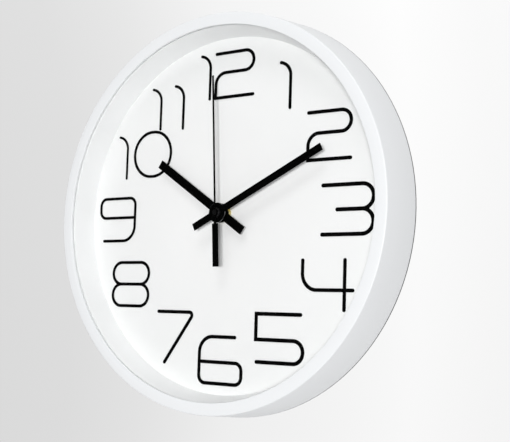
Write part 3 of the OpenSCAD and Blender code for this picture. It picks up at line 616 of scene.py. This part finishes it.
def fitted_camera():
    """A camera at the viewpoint that was fitted to the photograph."""
    azimuth, elevation, roll = (
        math.radians(angle) for angle in (CAMERA_AZIMUTH, CAMERA_ELEVATION, CAMERA_ROLL)
    )
    back = Vector((
        math.sin(azimuth) * math.cos(elevation), math.sin(elevation),
        math.cos(azimuth) * math.cos(elevation),
    ))
    right = Vector((0, 1, 0)).cross(back).normalized()
    up = back.cross(right)
    right, up = (
        right * math.cos(roll) - up * math.sin(roll),
        right * math.sin(roll) + up * math.cos(roll),
    )
    eye = back * CAMERA_DISTANCE - right * CENTRE_RIGHT - up * CENTRE_UP
    axes = [Vector((v.x, -v.z, v.y)) for v in (right, up, back)]
    place = Matrix.Identity(4)
    for column, axis in enumerate(axes):
        for row in range(3):
            place[row][column] = axis[row]
    place.translation = row_point(eye.x, eye.y, eye.z + DEPTH)
    camera = bpy.data.cameras.new("camera")
    camera.sensor_width = SENSOR_WIDTH
    camera.lens = FOCAL_WIDTHS * SENSOR_WIDTH
    holder = bpy.data.objects.new("camera", camera)
    holder.matrix_world = place
    bpy.context.scene.collection.objects.link(holder)
    bpy.context.scene.camera = holder


# Brightness of the surroundings by direction, each from -1 to 1 along an axis of the frame
ACROSS = [
    (-1, 0.67), (-0.71, 0.748), (-0.66, 0.797), (-0.59, 0.90), (-0.5, 0.945), (-0.44, 0.985),
    (-0.37, 0.95), (0, 0.93), (0.55, 0.72), (1, 0.56),
]
FRONT_TO_BACK = [(-1, 0.46), (-0.94, 0.42), (-0.86, 0.24), (-0.35, 0.29), (0.2, 1)]
UPWARDS = [(-1, 0.96), (-0.35, 0.792), (-0.1, 0.796), (0.28, 0.833), (0.6, 0.9), (1, 1)]
WORLD_STRENGTH = 1.2


def studio_world():
    """Pale surroundings, the product of three shades. They are bright behind the clock and dim
    in front of it, where the softboxes light it, and shade off to both sides."""
    world = bpy.data.worlds.new("studio")
    bpy.context.scene.world = world
    world.use_nodes = True
    tree = world.node_tree
    background = tree.nodes["Background"]
    coordinates = tree.nodes.new("ShaderNodeTexCoord")
    split = tree.nodes.new("ShaderNodeSeparateXYZ")
    tree.links.new(coordinates.outputs["Generated"], split.inputs[0])
    colour = None
    for axis, stops in (("X", ACROSS), ("Y", FRONT_TO_BACK), ("Z", UPWARDS)):
        span = tree.nodes.new("ShaderNodeMapRange")
        span.inputs["From Min"].default_value = -1
        span.inputs["From Max"].default_value = 1
        tree.links.new(split.outputs[axis], span.inputs["Value"])
        node = tree.nodes.new("ShaderNodeValToRGB")
        set_stops(node.color_ramp, [((place + 1) / 2, (value,) * 3) for place, value in stops])
        tree.links.new(span.outputs["Result"], node.inputs["Fac"])
        shade = node.outputs["Color"]
        if colour is None:
            colour = shade
            continue
        product = tree.nodes.new("ShaderNodeVectorMath")
        product.operation = "MULTIPLY"
        tree.links.new(colour, product.inputs[0])
        tree.links.new(shade, product.inputs[1])
        colour = product.outputs[0]
    tree.links.new(colour, background.inputs["Color"])
    background.inputs["Strength"].default_value = WORLD_STRENGTH


# Softboxes by name, azimuth and elevation in degrees, size in metres and power in watts
SOFTBOX_DISTANCE = 3
SOFTBOXES = (
    ("key", 31, -3.5, 0.4, 27.1),
    ("second", 23, -3, 0.4, 33.6),
    ("top", 12, 53, (1.5, 1), 14.5),
)


def softbox(name, azimuth, elevation, size, power):
    """A light aimed at the middle of the dial. One size makes it round, two make it oblong."""
    a, e = math.radians(azimuth), math.radians(elevation)
    away = Vector((math.sin(a) * math.cos(e), -math.cos(a) * math.cos(e), math.sin(e)))
    light = bpy.data.lights.new(name, "AREA")
    if isinstance(size, tuple):
        light.shape = "RECTANGLE"
        light.size, light.size_y = size
    else:
        light.shape = "DISK"
        light.size = size
    light.energy = power
    holder = bpy.data.objects.new(name, light)
    holder.location = row_point(0, 0, DIAL_FRONT) + away * SOFTBOX_DISTANCE
    holder.rotation_mode = "QUATERNION"
    holder.rotation_quaternion = away.to_track_quat("Z", "Y")
    holder.visible_camera = False
    bpy.context.scene.collection.objects.link(holder)


# The floor in metres: its height, the radii of its rings, and where its fade starts and ends
FLOOR_Z, FLOOR_RADII, FLOOR_FADE = -0.95, (0, 0.3, 0.7, 1.15), (0.3, 1.1)


def pale_floor():
    """A pale round floor well below the clock. It fades out into the surroundings."""
    m = Nodes("pale_floor")
    separate = m.add("ShaderNodeSeparateXYZ")
    m.link(m.place, separate.inputs[0])
    flat = m.add("ShaderNodeCombineXYZ")
    m.link(separate.outputs["X"], flat.inputs["X"])
    m.link(separate.outputs["Y"], flat.inputs["Y"])
    length = m.add("ShaderNodeVectorMath", operation="LENGTH")
    m.link(flat.outputs[0], length.inputs[0])
    m.set(colour=m.tint(m.noise(3, 4), [(0.3, (0.80, 0.80, 0.80)), (0.7, (0.83, 0.83, 0.83))]))
    m.set(rough=0.8, specular=0.1, alpha=m.spread(length.outputs["Value"], 1, 0, *FLOOR_FADE))
    bm = bmesh.new()
    revolve(bm, [(radius, 0) for radius in FLOOR_RADII], FLOOR_STEPS,
            lambda x, y, z: Vector((x, y, z)), closed=False)
    mesh = bpy.data.meshes.new("floor")
    bm.to_mesh(mesh)
    bm.free()
    mesh.materials.append(m.material)
    floor = bpy.data.objects.new("floor", mesh)
    floor.location = (0, 0, FLOOR_Z)
    bpy.context.scene.collection.objects.link(floor)


studio_world()
for settings in SOFTBOXES:
    softbox(*settings)
pale_floor()
fitted_camera()
bpy.context.scene.view_settings.view_transform = "Standard"
